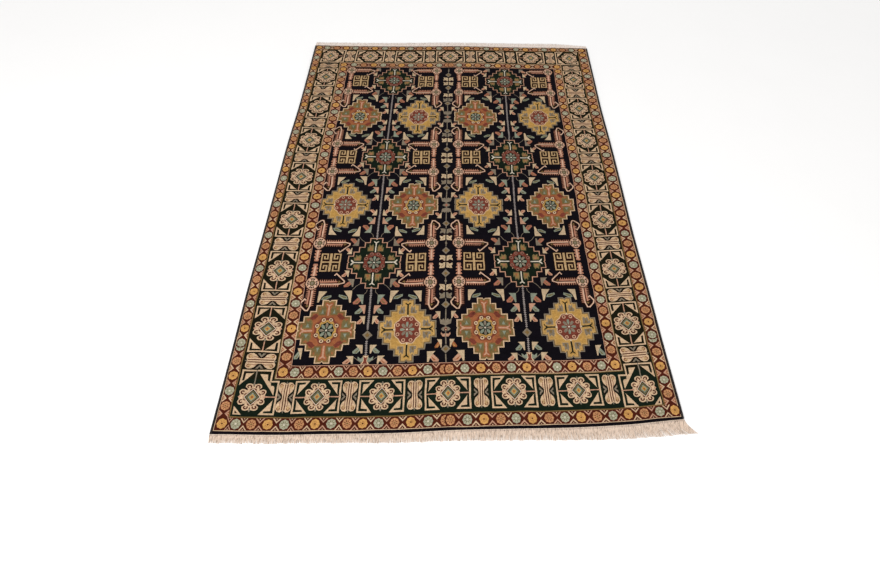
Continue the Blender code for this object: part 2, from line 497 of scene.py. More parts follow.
def sideSpots(places, corners, outer):
    spots = [(corners[0], "corner", 1.0)]
    for i, place in enumerate(places):
        double = outer and i == 4
        spots.append((place, ("rust", "teal", "gold")[i % 3], 1.5 if double else 1.0))
    return spots + [(corners[1], "corner", 1.0)]


# main border
border = {
    "bar": 7.5,  # width of the ivory bars
    "nearEnd": (170, 78),  # middle and half width of the row along an end
    "farEnd": (2856, 75),
    "endCorners": (140, 1848),
    "endBox": (101, 64),  # half length, and how much of it the slanting wedge takes
    "endRosette": (55, 0.89),  # half length, and half width as a share of the row's
    "endDivider": (33, 0.95),
    "leftSide": (144, 300),  # middle of the row along a side, and where its first gap starts
    "rightSide": (1850, 292),
    "farCorner": (2866, 104),
    "sideBox": (69, 0.57),  # half width, and the wedge's share of the half length
    "sideRosette": (63, 70),
    "sideDivider": (6, 66),  # what it leaves free in its gap, and half width
}


def curl(x, y, rx, ry, start, sweep, width, yarn, count=6):  # a hook of yarn inside a lobe
    points = []
    for i in range(count + 1):
        angle = math.radians(start + sweep * i / count)
        reach = 1 - 0.45 * i / count
        points.append((x + rx * reach * math.cos(angle), y + ry * reach * math.sin(angle)))
    return [(yarn, line(points, width))]


def boxRosette(rx, ry):  # eight curled lobes round a lozenge
    quarter = []
    for x, y, wide, high in ((0.31, 0.70, 0.31, 0.27), (0.72, 0.31, 0.28, 0.25)):
        quarter.append(("ivory", lobed(x * rx, y * ry, wide * rx, high * ry, 3, 0.05, 0.25, 4)))
    web = [(0, 1.02), (0.12, 0.88), (0.30, 0.80), (0.84, 0.28), (0.98, 0), (0.50, 0), (0.28, 0.24), (0, 0.50)]
    quarter.append(("ivory", scaled(web, rx, ry)))
    quarter += curl(0.33 * rx, 0.71 * ry, 0.17 * rx, 0.14 * ry, 205, -280, rx * 0.10, "maroon")
    quarter += curl(0.72 * rx, 0.32 * ry, 0.16 * rx, 0.13 * ry, 245, 280, rx * 0.10, "maroon")
    for bar in ([(0.10, 0.60), (0.24, 0.48)], [(0.60, 0.12), (0.46, 0.26)]):
        quarter.append(("maroon", line(scaled(bar, rx, ry), rx * 0.07)))
    for gap in ([(0.46, 0.60), (0.66, 0.70), (0.58, 0.50), (0.40, 0.46)],
                [(0, 0.92), (0.06, 0.82), (0, 0.70)]):
        quarter.append(("brown", scaled(gap, rx, ry)))
    out = four(quarter)
    for sign in (-1, 1):
        tip = [(-0.10, sign * 0.90), (0, sign * 1.04), (0.10, sign * 0.90), (0, sign * 0.80)]
        end = [(sign * 0.88, -0.09), (sign * 1.03, 0), (sign * 0.88, 0.09), (sign * 0.80, 0)]
        out += [("grey", scaled(tip, rx, ry)), ("pink", scaled(end, rx, ry))]
    for yarn, size in (("red", 0.66), ("ivory", 0.625), ("white", 0.575), ("navy", 0.54), ("moss", 0.455),
                       ("bottle", 0.36), ("teal", 0.32), ("gold", 0.22)):
        out += lozenge(yarn, 0, 0, rx * size, ry * size)
    out.append(("rust", oval(0, 0, rx * 0.09, ry * 0.08, 6)))
    return out


def bracket(a, b, across):  # the corner at (a, b): a bar on each side and a slanting wedge between them
    bar = border["bar"]
    return [
        ("ivory", [(a, 0), (a, b), (a - across, b), (a - across + 8, b - bar), (a - bar, b - bar),
                   (a - bar, 0)]),
        ("ivory", [(a - across, b), (a - across * 0.72, b - bar), (a - across * 0.68, b - 17),
                   (a - 18, b - 19), (a - 17, b * 0.28), (a - 13.5, b * 0.14)]),
    ]


def borderBox(a, b, across):  # half length a along the border, half width b across it
    out = four(bracket(a, b, across))
    for sign in (-1, 1):
        out.append(("pink", boxPoints(sign * a * 0.76 - a * 0.20, -2.6, sign * a * 0.76 + a * 0.20, 2.6)))
    return out


def cornerBox(low, up):  # its outer corner points down and left; the two borders meet in it
    left = -64
    right = 104
    bar = border["bar"]
    near = up > 100
    step = 79 if near else up - 6
    out = moved(bracket(up, -left, up * 0.59), 0, 0, turn=1)  # top left
    out += moved(bracket(right, low, 64), 0, 0, sy=-1)  # bottom right
    stair = [(69, up), (69, step), (right, step), (right, 0), (right - bar, 0), (right - bar, step - bar),
             (69 - bar, step - bar), (69 - bar, up - bar), (3, up - bar), (3, up)]
    wedge = [(40, up - 10), (62, up - 12), (66, up - 22), (86, up - 24), (88, 8)]
    if near:
        wedge = [(16, up - 21), (49, up - 22), (52, up - 50), (60, step - 3), (67, step - 12),
                 (68, step - 23), (82, step - 26), (86, step - 34), (87, 8)]
    out += [("ivory", stair), ("ivory", wedge)]
    out.append(("ivory", [(left, -low), (left, -low * 0.52), (left + 34, -low)]))
    out.append(("brown", [(left + 7, -low + 6), (left + 7, -low + 20), (left + 19, -low + 6)]))
    out.append(("grey", boxPoints(-2.6, 60, 2.6, up)))
    out.append(("pink", boxPoints(52, -2.6, right, 2.6)))
    return out + boxRosette(56, 69 if near else 68)


def divider(a, b):  # two opposed tulips across the border
    half = [(0, 0.90), (0.16, 0.90), (0.36, 0.97), (0.72, 0.94), (0.96, 0.78), (0.98, 0.56), (0.80, 0.36),
            (0.50, 0.22), (0.34, 0.10), (0.34, 0)]
    tulip = [("ivory", fromRight(scaled(half, a, b))),
             ("grey", scaled([(-0.14, 0.86), (0.14, 0.86), (0, 1.04)], a, b))]
    inner = [("sand", lobed(a * 0.60, b * 0.72, a * 0.26, b * 0.17, 3, 0.05, 0.25, 3))]
    inner += curl(a * 0.64, b * 0.73, a * 0.22, b * 0.14, 200, -260, a * 0.085, "red")
    inner.append(("red", line(scaled([(0.42, 0.62), (0.50, 0.34), (0.40, 0.16)], a, b), a * 0.07)))
    wing = []
    for yarn, outer, high, point in (("brown", 1.0, 0.36, 0.34), ("grey", 0.96, 0.27, 0.46),
                                     ("bottle", 0.96, 0.10, 0.70)):
        wing.append((yarn, scaled([(outer, -high), (outer, high), (point, 0)], a, b)))
    out = upDown(tulip) + four(inner) + pair(wing)
    for x in (-0.15, 0.15):
        out.append(("maroon", boxPoints(a * (x - 0.065), -b * 0.84, a * (x + 0.065), b * 0.84)))
    return out


# field
warmSteps = [(137, 49), (113, 81), (86, 112), (60, 145), (34, 178)]  # half width, half height
darkSteps = [(136, 45), (111, 74), (85, 106), (59, 140), (34, 170)]


def stepped(steps, inset, notch=7.0):
    quarter = [(steps[0][0] - inset - notch * 0.7, 0), (steps[0][0] - inset, notch * 0.9)]
    for i, (w, h) in enumerate(steps):
        quarter.append((w - inset, h - inset))
        if i + 1 < len(steps):
            quarter.append((steps[i + 1][0] - inset, h - inset))
    h = steps[-1][1]
    quarter += [(notch, h - inset), (0, h - inset - notch * 1.2)]
    return fromTop(fromRight(quarter))


def forkedStem(yarn, root, tip, width, fork):
    half = width / 2
    right = [(half, root), (half, tip - fork * 0.9), (fork, tip - half), (fork, tip + 2),
             (fork * 0.45, tip - 1), (0, tip - fork * 0.5)]
    return [(yarn, [(-half, root)] + fromRight(right)[:-1])]


def tulipLeaf(edge, fill, heart, x0, x1, y0, y1):
    shape = [(0.04, 0), (0.96, 0.0), (1.0, 0.62), (0.80, 0.50), (0.74, 1.0), (0.46, 0.78), (0.20, 1.0),
             (0, 0.62)]
    inner = [(0.14, 0.09), (0.86, 0.09), (0.88, 0.40), (0.68, 0.36), (0.64, 0.82), (0.46, 0.62), (0.22, 0.82),
             (0.12, 0.5)]
    core = [(0.30, 0.16), (0.64, 0.16), (0.47, 0.56)]
    layers = [(edge, shape), (fill, inner), (heart, core)]
    return moved([(yarn, scaled(points, x1 - x0, y1 - y0)) for yarn, points in layers], x0, y0)


def eyeRing(rx, ry, edge, fill, dot, size):
    out = []
    for yarn, scale, count in ((edge, 1.0, 8), (fill, 0.80, 8), (dot, 0.36, 6)):
        for x, y in ((0.36 * rx, 0.98 * ry), (0.96 * rx, 0.44 * ry)):
            out += four([(yarn, oval(x, y, size * scale, size * 1.14 * scale, count))])
    return out


def star(rx, ry, ground, petal, axis, heart):
    out = [(ground, lobed(0, 0, rx, ry, depth=0.07, turn=0, each=3))]
    arms = []
    for yarn, wide in ((axis, 0.17), (petal, 0.19)):
        arms.append((yarn, [(0.18, 0), (0.55, wide), (0.90, wide * 0.7), (0.90, -wide * 0.7), (0.55, -wide)]))
    out += eight(arms, 0, rx, ry)
    out.append((heart, oval(0, 0, rx * 0.14, ry * 0.12, 6)))
    return out


def warmMedallion(kind):
    rust = kind == "rust"
    out = [("ivory" if rust else "grey", stepped(warmSteps, 0)), ("olive", stepped(warmSteps, 5.5))]
    if not rust:
        out.append(("straw", stepped(warmSteps, 10)))
    out.append((kind, stepped(warmSteps, 15)))
    if rust:  # redder towards the middle
        out += four([("red", [(42, 84), (56, 96), (72, 82), (84, 70), (74, 58), (58, 62)])])
    stems = []
    for root, tip, width, fork, turn in ((84, 152, 8, 13, 0), (64, 119, 9, 18, 3)):
        stem = forkedStem("pink" if rust else "bottle", root, tip, width, fork)
        if not rust:  # the dark stems are edged in pale yarn
            stem = [("straw", boxPoints(-width * 0.9, root, width * 0.9, tip - fork))] + stem
        stems += moved(stem, 0, 0, turn=turn)
    out += stems + moved(stems, 0, 0, turn=2)
    leaves = ("olive", "moss", "teal") if rust else ("straw", "grey", "olive")
    out += four(tulipLeaf(*leaves, 9, 47, 86, 146))
    out += four(tulipLeaf(*leaves, 66, 116, 10, 66))
    if rust:
        out.append(("red", lobed(0, 0, 62, 80, depth=0.07, each=4)))
        out.append(("gold", lobed(0, 0, 50, 64, depth=0.06, each=3)))
        out += eyeRing(46, 59, "maroon", "ivory", "brown", 12.5)
        return out + star(37, 46, "bottle", "teal", "grey", "white")
    for yarn, wide, high in (("ivory", 67, 84), ("red", 62, 79)):
        out.append((yarn, lobed(0, 0, wide, high, depth=0.06, each=4)))
    out += eyeRing(47, 60, "maroon", "pink", "maroon", 12.5)
    out += star(38, 47, "red", "grey", "teal", "white")
    return out + [("white", oval(x, y, 3.5, 4, 6)) for x, y in ((-62, 0), (62, 0), (0, -79), (0, 79))]


def darkMedallion():
    out = [(yarn, stepped(darkSteps, inset)) for yarn, inset in (("pink", 0), ("brown", 5), ("bottle", 8))]
    stems = forkedStem("white", 70, 146, 6, 13)
    stems += moved(forkedStem("white", 56, 117, 7, 17), 0, 0, turn=3)
    out += stems + moved(stems, 0, 0, turn=2)
    out += four(tulipLeaf("moss", "umber", "rust", 9, 42, 76, 126))
    out += four(tulipLeaf("moss", "umber", "rose", 68, 106, 12, 52))
    out.append(("red", lobed(0, 0, 59, 73, depth=0.06, each=4)))
    out += eyeRing(46, 58, "maroon", "mauve", "maroon", 13)
    out += star(38, 47, "bottle", "grey", "teal", "white")
    out += four([("ivory", oval(43, 47, 3.2, 3.8, 6))])
    return out


def fret(w, h):  # a cross with a square spiral in each quarter
    t = 7.2
    arm = [(w - t / 2, 0), (w - t / 2, h - t / 2), (w * 0.33, h - t / 2), (w * 0.33, h * 0.38),
           (w * 0.64, h * 0.38), (w * 0.64, h * 0.70)]
    out = [("brown", boxPoints(-w - 4, -h - 4, w + 4, h + 4))]
    out += four([("sand", line(arm, t))])
    return out + [("sand", boxPoints(-w, -t * 0.6, w, t * 0.6)), ("sand", boxPoints(-6, -h, 6, h))]


def combTeeth(x0, x1, y, size, pitch, yarn):
    out = []
    count = max(int((x1 - x0) / pitch), 1)
    for i in range(count):
        x = x0 + (i + 0.5) * (x1 - x0) / count
        out.append((yarn, [(x - pitch * 0.28, y), (x + pitch * 0.28, y), (x + pitch * 0.18, y + size * 0.75),
                           (x, y + size), (x - pitch * 0.18, y + size * 0.75)]))
    return out


def combArm(barb):  # a comb from a flower node along +x, its barb turned up and back at the end
    out = [("brown", [(20, -27), (152, -27), (190, 6), (156, 27), (20, 27)])]
    out += combTeeth(36, 134, 9, 14.5, 11.5, "salmon") + combTeeth(36, 150, -10, -14.5, 11.5, "salmon")
    out += [("salmon", boxPoints(20, 4.5, 138, 12)), ("maroon", boxPoints(20, -2.5, 140, 4.5))]
    out.append(("brown", line([(150, -12), (180, 2), (180, 12)] + barb, 14)))
    out.append(("salmon", boxPoints(20, -12.5, 150, -3)))
    out.append(("blush", line([(20, -5), (150, -6), (177, 2), (177, 13)] + barb, 6.5)))
    out.append(("olive", [(142, 0), (158, 6), (146, 16)]))
    return out


shortBarb = [(126, 60), (117, 46)]
longBarb = [(150, 37), (132, 41), (104, 24), (110, 15)]


def flowerNode(rx, ry):
    shape = fromTop([(1, 0.20), (0.68, 0.66), (0.20, 1), (-0.20, 1), (-0.68, 0.66), (-1, 0.20)])
    out = [("brown", scaled(shape, rx + 5, ry + 5)), ("pink", scaled(shape, rx, ry))]
    out.append(("blush", [(x * rx * 0.86, y * ry * 0.88) for x, y in shape]))
    out += eight([("brown", [(0.34, 0), (0.80, 0.12), (0.80, -0.12)])], 0.5, rx, ry)
    for x, y in ((0.66, 0), (-0.66, 0), (0, 0.68), (0, -0.68)):
        out.append(("brown", oval(rx * x, ry * y, rx * 0.14, ry * 0.14, 6)))
    for yarn, wide, high, count in (("brown", 0.44, 0.44, 8), ("moss", 0.38, 0.38, 8),
                                    ("grey", 0.22, 0.24, 6)):
        out.append((yarn, oval(0, 0, rx * wide, ry * high, count)))
    return out


def feather(length):  # a fishbone link from 0 up to length, pointed at its far end
    points = [(4, 0)]
    for i in range(4):
        y = length * i / 4
        k = 1 if i < 3 else 0.75
        wide = 15.5 * k
        points += [(7, y + 3), (wide, y + length * 0.06), (wide, y + length * 0.12), (8, y + length * 0.235)]
    points += [(3, length - 4), (0, length)]
    return [("brown", fromRight([(x + 4, y) for x, y in points[1:-1]])),
            ("salmon", fromRight(points)),
            ("blush", boxPoints(-3, 2, 3, length * 0.84))]


def arrowLeaf(head, tail, w, h, flat=False):  # an arrow with its point at (0, 0), up and left of its tail
    core = {"teal": "moss", "pink": "rust", "rust": "gold"}.get(tail, "olive")
    if flat:
        out = [(tail, [(18, -51), (24, -34), (42, -27), (62, -21), (64, -33), (40, -50)]),
               (core, [(24, -46), (28, -37), (56, -27), (56, -32), (38, -45)])]
    else:
        wing = [(0.28, -0.32), (0.52, -0.30), (1, -0.80), (0.94, -1), (0.52, -0.98), (0.22, -0.62)]
        vein = [(0.34, -0.48), (0.80, -0.88), (0.56, -0.88)]
        out = [(tail, scaled(wing, w, h)), (core, scaled(vein, w, h))]
    point = [(0, 0), (0.70, 0), (0.44, -0.34), (0.30, -0.52), (0.12, -1), (0, -0.98)]
    return out + [(head, scaled(point, w, h))]


def leafPair(dx, dy, w, h, head, tail):
    return pair(moved(arrowLeaf(head, tail, w, h), dx, dy))


def bead(y, rx, ry):  # a lozenge on a stem
    out = lozenge("navy", 0, y, rx + 4, ry + 4) + lozenge("grey", 0, y, rx, ry)
    return out + lozenge("olive", 0, y, rx * 0.5, ry * 0.5)


def butterfly(w, h, upper, lower):
    wing = [(0.52, 0.34), (0.72, 0.30), (1, 0.16), (0.98, 0.50), (0.84, 0.58), (0.98, 1), (0.30, 0.94)]
    wing = [(3, 5), (w * 0.34, 7)] + scaled(wing, w, h) + [(3, h * 0.86)]
    vein = [("olive", line(scaled([(0.30, 0.48), (0.66, 0.80)], w, h), 2.6))]
    return pair([(upper, wing)] + vein) + moved(pair([(lower, wing)] + vein), 0, 0, sy=-1)


def beadedStem(x, low, high, thin=1.2, wide=6.4, pitch=11.5):
    count = max(int((high - low) / pitch), 1)
    step = (high - low) / count
    side = []
    for i in range(count):
        side += [(x + thin, low + i * step), (x + wide, low + (i + 0.5) * step)]
    side.append((x + thin, high))
    return [("lilac", side + [(2 * x - px, py) for px, py in reversed(side)])]


# layout: where each band starts and ends, from the outside in and out again
layout = {
    "across": [13, 67, 221, 279, 1716, 1774, 1924, 1986],
    "along": [10, 76, 260, 326, 2716, 2771, 2941, 2990],
    "nearBoxes": [412, 689, 978, 1271, 1560],
    "farBoxes": [418, 697, 980, 1266, 1559],
    "leftBoxes": [(521, 129), (871, 129), (1230, 129), (1577, 124), (1912, 122), (2252, 119), (2591, 108)],
    "rightBoxes": [(517, 129), (866, 129), (1224, 128), (1575, 123), (1917, 120), (2253, 118), (2588, 107)],
    "corners": ((139, 169), (1854, 160), (138, 2858), (1848, 2856)),
    "warmRows": (512, 1348, 2160),
    "darkRows": (927, 1760, 2554),
    "nodeRows": ((925, 133), (1756, 128), (2550, 125)),
    "warmColumns": ((410, 788, 1157, 1561), (411, 785, 1151, 1562), (412, 784, 1150, 1565)),
    "darkColumns": (604, 1356),
    "frets": (383, 816, 1115, 1594),
    "chains": ((311, 893, 1036, 1669), (311, 890, 1038, 1670), (311, 887, 1041, 1669)),
    "flatLeaves": ((350, 1), (850, -1), (1080, 1), (1623, -1)),
    "flatLeafRise": 229,
    "centre": 968.6,
}


def layBands():
    a = layout["across"]
    b = layout["along"]
    out = [("navy", boxPoints(10.6, 0.4, 1989.4, 2999.6))]
    for yarn, k, inset in (("ivory", 0, 0), ("maroon", 0, 3), ("olive", 1, -5), ("green", 1, 0),
                           ("olive", 2, -4), ("ivory", 2, 0), ("maroon", 2, 2.5), ("pink", 3, -3),
                           ("navy", 3, 0)):
        out.append((yarn, boxPoints(a[k] + inset, b[k] + inset, a[7 - k] - inset, b[7 - k] - inset)))
    # painted sheen: the near end of the border's ground is laid in a bluer green, standing in for the light
    # the pile catches when seen from the near side
    return out + [("bottle", boxPoints(a[1], b[1], a[6], b[2] - 4))]


def layGuards():
    a = layout["across"]
    b = layout["along"]
    out = []
    for name, low, high, ry in (("nearOuter", b[0] + 3, b[1] - 5, 25), ("farOuter", b[6] + 5, b[7] - 3, 22),
                                ("nearInner", b[2] + 2, b[3] - 3, 25), ("farInner", b[4] + 3, b[5] - 2, 22)):
        out += guardRun(endSpots(guards[name]), low, high, 0, 22, ry)
    outer = sideSpots(guards["sideOuter"], guards["outerCorners"], True)
    inner = sideSpots(guards["sideInner"], guards["innerCorners"], False)
    for spots, low, high in ((outer, a[0] + 3, a[1] - 5), (outer, a[6] + 5, a[7] - 3),
                             (inner, a[2] + 2, a[3] - 3), (inner, a[4] + 3, a[5] - 2)):
        out += guardRun(spots, low, high, 1, 23, 22)
    return out


def layBorder():
    out = []
    length, wedge = border["endBox"]
    rosette, rosetteShare = border["endRosette"]
    thick, dividerShare = border["endDivider"]
    first, last = border["endCorners"]
    for end in ("near", "far"):
        y, half = border[end + "End"]
        boxes = layout[end + "Boxes"]
        for x in boxes:
            out += moved(borderBox(length, half, wedge) + boxRosette(rosette, half * rosetteShare), x, y)
        for low, high in zip([first] + boxes, boxes + [last]):
            out += moved(divider(thick, half * dividerShare), (low + high) / 2, y)
    wide, wedgeShare = border["sideBox"]
    spare, dividerWide = border["sideDivider"]
    for side in ("left", "right"):
        x, edge = border[side + "Side"]
        for y, half in layout[side + "Boxes"] + [border["farCorner"]]:
            if y < border["farCorner"][0]:
                out += moved(borderBox(half, wide, half * wedgeShare), x, y, turn=1)
                out += moved(boxRosette(*border["sideRosette"]), x, y)
            gap = y - half - edge
            out += moved(divider(gap / 2 - spare, dividerWide), x, y - half - gap / 2, turn=1)
            edge = y + half
    for x, y in layout["corners"]:
        near = y < 1000
        box = cornerBox(84, 132) if near else cornerBox(80, 86)
        out += moved(box, x, y, sx=1 if x < 1000 else -1, sy=1 if near else -1)
    return out


# leaves beside a stem: across from it, along from the medallion row, width, height, head, tail, flat
clusterLeaves = [
    (17, 79, 38, 46, "parchment", "pink", False),
    (21, 142, 48, 50, "pink", "teal", False),
    (34, 207, 50, 58, "teal", "rose", False),
    (93, 231, 58, 72, "parchment", "teal", True),
]
rowLeaves = [(90, 109, 48, 52, "grey", "rose", False), (120, 54, 36, 42, "parchment", "pink", False)]
topLeaf = (96, 143, 48, 42, "grey", "pink", False)
quarters = ((-1, -1), (-1, 1), (1, -1), (1, 1))


def layLeaves(leaves, x, y, side, up, turned=1, wide=0.0, long=1.0):
    out = []
    for dx, dy, w, h, head, tail, flat in leaves:
        place = (x + side * (dx + wide), y + up * dy * long)
        out += moved(arrowLeaf(head, tail, w, h, flat), *place, sx=side, sy=up * turned)
    return out


def chainAboutWarm(ends):  # the centre chain beside a row of warm medallions
    part = [("grey", boxPoints(-2.5, 0, 2.5, 150))]
    part += pair([("grey", [(0, 18), (9, 24), (24, 30), (29, 62), (17, 52), (10, 60), (0, 48)])])
    part += leafPair(26, 103, 36, 42, "parchment", "pink") + bead(143, 21, 24)
    out = []
    for sign in ends:
        out += moved(part, 0, 0, sy=sign)
    out += pair([("grey", [(2, -14), (16, -8), (22, 0), (16, 8), (2, 14)])])
    return out + lozenge("rose", 0, 0, 9, 12)


def chainAboutDark(scale, above):
    out = [("grey", boxPoints(-2, -260 * scale, 2, 260 * scale if above else 150))]
    out += [("navy", boxPoints(-8, -50, 8, 50))] + butterfly(34, 45, "parchment", "parchment")
    out += pair([("brown", oval(19, 0, 7.5, 7.5, 8))])
    for sign in (1, -1):
        out += moved(bead(0, 21, 25), 0, 78 * sign * scale)
        out += [("grey", oval(0, 128 * sign * scale, 6, 8, 6))]
        if sign < 0 or above:
            wings = [("navy", boxPoints(-7, -45, 7, 45))] + butterfly(32, 45, "grey", "parchment")
            out += moved(wings, 0, 193 * sign * scale, sy=sign)
            out += pair([("brown", oval(17, 193 * sign * scale, 7, 7, 8))])
    return out


def layFoot(x):  # the row of leaves and tulips that the stems stand on
    side = [("grey", line([(-53, 364), (-6, 326)], 3))]
    side += moved(arrowLeaf("parchment", "teal", 45, 46), -17, 430, sx=-1)
    side += moved(arrowLeaf("parchment", "pink", 46, 42), -55, 371, sx=-1)
    side.append(("teal", [(-36, 368), (-22, 356), (-12, 366), (-6, 338), (-20, 340), (-34, 350)]))
    out = pair(side) + bead(483, 24, 26)
    out.append(("ivory", [(-13, 372), (13, 372), (9, 345), (20, 327), (-20, 327), (-9, 345)]))
    out.append(("red", [(-9, 369), (0, 360), (9, 369), (6, 345), (12, 329), (-12, 329), (-6, 345)]))
    return moved(out, x, 0)


def layCentreFoot(x):
    out = [("grey", boxPoints(-2.5, 327, 2.5, 512))]
    out += pair([("pink", [(2, 466), (14, 466), (23, 480), (22, 492), (13, 480), (2, 484)])])
    out += leafPair(19, 451, 33, 46, "parchment", "rust") + bead(397, 22, 24)
    out += [("brown", oval(0, 503, 8, 9, 8)), ("pink", oval(0, 503, 4, 5, 6))]
    return moved(out + leafPair(-86, 389, 55, 58, "parchment", "pink"), x, 0)


def layCombs(x, y, reach, topRow):
    away = 1 if x > layout["centre"] else -1
    if not 850 < x < 1100:  # the combs of the two outer chains point towards the centre
        away = -away
    out = moved(moved(feather(82), 0, -88) + moved(feather(82), 0, 88, sy=-1), x, y)
    for up in (1, -1):
        out += moved(combArm(shortBarb), x, y + reach * up, sx=away * 0.88, sy=-up)
        if not (topRow and up == 1):
            tall = moved(combArm(longBarb), 0, 0, turn=1)
            out += moved(tall, x, y + reach * up, sx=away, sy=up * 0.935)
        out += moved(flowerNode(32, 41), x, y + reach * up)
    return out


def layStem(x, wide):  # a beaded stem with all that grows on it; the right one is a little wider
    warm = layout["warmRows"]
    dark = layout["darkRows"]
    tendrils = [("grey", line([(58, 140), (76, 156), (92, 180)], 2.6)),
                ("grey", line([(20, 176), (22, 192), (34, 207)], 2.6))]
    out = []
    for low, high in zip((327,) + dark, dark):
        out += beadedStem(x, low, high)
    for j, y in enumerate(warm):
        for side, up in quarters:
            if j > 0 or up > 0:
                out += layLeaves(clusterLeaves, x, y, side, up, 1, wide * 0.4, 1.025 if j == 1 else 1.0)
    out += layFoot(x)
    for j, y in enumerate(dark):
        for side, up in quarters:
            top = j == 2 and up == 1
            far = 1.05 if up == 1 or j == 2 else 1.0
            out += layLeaves([topLeaf if top else rowLeaves[0]], x, y, side, up, 1 if top else -1, wide, far)
            out += layLeaves(rowLeaves[1:], x, y, side, up, -1, wide, far)
            if not top:
                out += moved(tendrils, x, y, sx=side, sy=up)
        out += moved(darkMedallion(), x, y, sy=0.92 if j == 2 else 1.0)
    return out


def layField():
    centre = layout["centre"]
    out = []
    for x in layout["darkColumns"]:
        out += layStem(x, 0.0 if x < centre else 7.0)
    for j, y in enumerate(layout["warmRows"]):
        for i, x in enumerate(layout["warmColumns"][j]):
            out += moved(warmMedallion("rust" if (i + (j == 1)) % 2 == 0 else "gold"), x, y)
        ends = (1,) if j == 0 else (1, -1)
        for up in ends:
            for x, side in layout["flatLeaves"]:
                leaf = arrowLeaf("parchment", "teal", 58, 68, True)
                out += moved(leaf, x, y + up * layout["flatLeafRise"], sx=side, sy=up)
        out += moved(chainAboutWarm(ends), centre, y - 4)
    for j, y in enumerate(layout["darkRows"]):
        for x in layout["chains"][j]:
            out += layCombs(x, *layout["nodeRows"][j], j == 2)
        for i, x in enumerate(layout["frets"]):
            out += moved(fret(50 if i < 2 else 55, 60), x, y - (6 if j == 2 else 0))
        out += moved(chainAboutDark(0.96 if j == 2 else 1.0, j < 2), centre, y - (5 if j else 2))
    out += layCentreFoot(centre)
    out += moved(arrowLeaf("parchment", "teal", 33, 57), 314, 415, sx=-1)
    return out + moved(arrowLeaf("parchment", "teal", 40, 57), 1674, 402)


backLook = {
    "knot": 4.0,  # mm; real ones are nearer 2 mm
    "gap": 0.4,
    "colours": ("#4c3a34", "#2e2530", "#8f7c69"),  # two of the wool, one of the cotton
    "mottling": 0.35,
    "bump": 0.6,
    "relief": 0.6,
    "shader": {"Roughness": 0.95, "Specular IOR Level": 0.2},
}


def wovenBack(name):
    # the underside: cotton warps with every knot showing as a small bar
    made, tree, place = startMaterial(name)
    size = backLook["knot"] / 1000
    one, two, cotton = [linear(code) for code in backLook["colours"]]
    knots = addNode(tree, "ShaderNodeTexBrick", {"Scale": 1.0, "Brick Width": size, "Row Height": size,
                    "Mortar Size": backLook["gap"] / 1000, "Color1": one, "Color2": two, "Mortar": cotton},
                    {"Vector": place})
    broad = addNode(tree, "ShaderNodeTexNoise", {"Scale": 3.0, "Detail": 4.0}, {"Vector": place})
    dyed = addNode(tree, "ShaderNodeMix",
                   {"data_type": "RGBA", "blend_type": "MULTIPLY", 0: backLook["mottling"]},
                   {6: knots.outputs[0], 7: broad.outputs["Color"]})
    return finishMaterial(made, backLook, dyed.outputs[2], knots.outputs["Fac"])


# the pile: every corner and edge of the drawing, with the pile's rim and a coarse lattice
def layPattern(shapes):
    x0 = rug["pileMargin"]
    x1 = rug["width"] - x0
    y1 = rug["length"]
    coords = []
    edges = []
    clipped = []

    def addLoop(points, longest):
        first = len(coords)
        for i, (ax, ay) in enumerate(points):
            bx, by = points[(i + 1) % len(points)]
            parts = max(1, math.ceil(math.hypot(bx - ax, by - ay) / longest))
            for k in range(parts):
                coords.append((ax + (bx - ax) * k / parts, ay + (by - ay) * k / parts))
        last = len(coords)
        edges.extend((i, i + 1) for i in range(first, last - 1))
        edges.append((last - 1, first))

    for inset, _ in rug["rim"]:
        addLoop(boxPoints(x0 + inset, inset, x1 - inset, y1 - inset), rug["longestRim"])
    for yarn, points in shapes:
        kept = []
        for x, y in points:
            place = (min(max(x, x0), x1), min(max(y, 0.0), y1))
            if not kept or math.dist(place, kept[-1]) > rug["closest"]:
                kept.append(place)
        if len(kept) > 2:
            clipped.append((yarn, kept))
            addLoop(kept, rug["longestEdge"])
    step = rug["lattice"]
    for i in range(1, int((x1 - x0) / step)):
        for j in range(1, int(y1 / step)):
            coords.append((x0 + i * step + (j % 2) * step / 2, j * step))
    result = delaunay_2d_cdt([Vector(c) for c in coords], edges, [], 0, 0.001, False)
    spots = np.array([(v.x, v.y) for v in result[0]])
    return clipped, spots, np.array(result[2], dtype=np.int64)


def findYarns(clipped, spots, faces):  # the last shape over a face's middle gives its yarn
    middles = spots[faces].mean(axis=1)
    order = np.argsort(middles[:, 0], kind="stable")
    xs = middles[order, 0]
    ys = middles[order, 1]
    names = list(yarns)
    chosen = np.zeros(len(middles), dtype=np.int32)
    for yarn, points in clipped:
        q = np.array(points)
        low = q.min(axis=0)
        high = q.max(axis=0)
        first, last = np.searchsorted(xs, [low[0], high[0]])
        near = np.arange(first, last)
        near = near[(ys[first:last] >= low[1]) & (ys[first:last] <= high[1])]
        ax = q[:, 0:1]
        ay = q[:, 1:2]
        bx = np.roll(ax, -1, axis=0)
        by = np.roll(ay, -1, axis=0)
        rise = np.where(by == ay, 1e-12, by - ay)
        crosses = ((ay > ys[near]) != (by > ys[near])) & (xs[near] < (bx - ax) * (ys[near] - ay) / rise + ax)
        chosen[near[crosses.sum(axis=0) % 2 == 1]] = names.index(yarn)
    back = np.empty_like(chosen)
    back[order] = chosen
    return back


def inwardsFrom(s, t):  # distance in from the pile's outer edge
    margin = rug["pileMargin"]
    return min(s - margin, rug["width"] - margin - s, t, rug["length"] - t)


